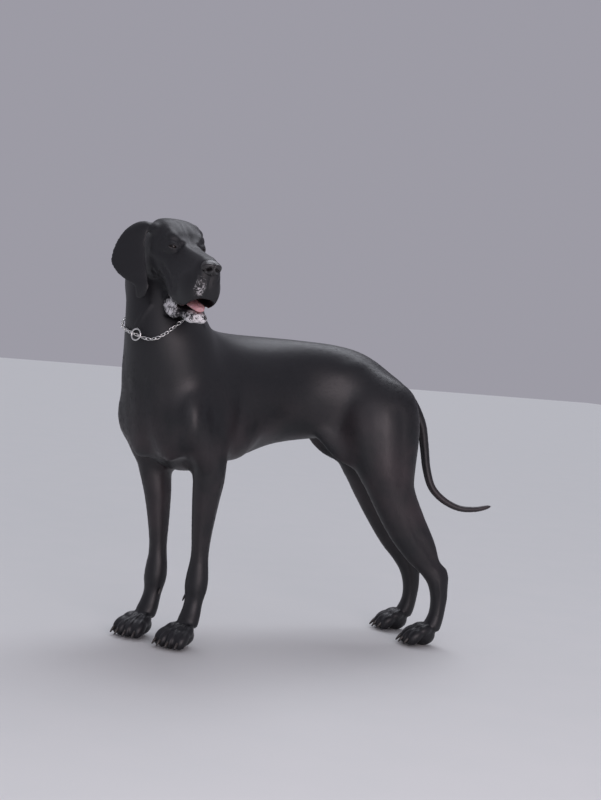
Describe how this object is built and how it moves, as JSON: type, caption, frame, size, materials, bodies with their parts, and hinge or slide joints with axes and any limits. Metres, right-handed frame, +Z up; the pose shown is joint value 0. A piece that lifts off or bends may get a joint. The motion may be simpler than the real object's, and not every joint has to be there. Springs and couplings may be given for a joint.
{
  "type": "dog model",
  "caption": "Life-size still model of a black, short-coated Great Dane that stands and looks to its left, with a chain collar.",
  "frame": {"origin": "on the floor, under the middle of the model's box", "axes": "+Z up; the chest points to -X and the dog's left side to -Y; the tail's tip is at +X"},
  "size_m": [1.1646, 0.5008, 1.0881],
  "materials": {
    "coat": "short, sleek, near-black coat",
    "nose_leather": "moist black leather",
    "tongue": "moist pink",
    "eye": "wet, dark brown",
    "claw": "satin dark horn",
    "collar_metal": "polished steel chain"
  },
  "bodies": {
    "root": {"head": "coat", "lower_jaw": "coat", "ear_left": "coat", "ear_right": "coat", "neck": "coat", "trunk": "coat", "tail": "coat", "forearm_left": "coat", "fore_pastern_left": "coat", "fore_paw_left": "coat", "thigh_left": "coat", "lower_leg_left": "coat", "hock_left": "coat", "hind_paw_left": "coat", "forearm_right": "coat", "fore_pastern_right": "coat", "fore_paw_right": "coat", "thigh_right": "coat", "lower_leg_right": "coat", "hock_right": "coat", "hind_paw_right": "coat", "nose": "nose_leather", "tongue": "tongue", "eye_left": "eye", "eye_right": "eye", "claw_fore_left_1": "claw", "claw_fore_left_2": "claw", "claw_fore_left_3": "claw", "claw_fore_left_4": "claw", "claw_hind_left_1": "claw", "claw_hind_left_2": "claw", "claw_hind_left_3": "claw", "claw_hind_left_4": "claw", "dewclaw_left": "claw", "claw_fore_right_1": "claw", "claw_fore_right_2": "claw", "claw_fore_right_3": "claw", "claw_fore_right_4": "claw", "claw_hind_right_1": "claw", "claw_hind_right_2": "claw", "claw_hind_right_3": "claw", "claw_hind_right_4": "claw", "dewclaw_right": "claw", "collar_chain": "collar_metal", "collar_ring": "collar_metal"}
  },
  "joints": []
}
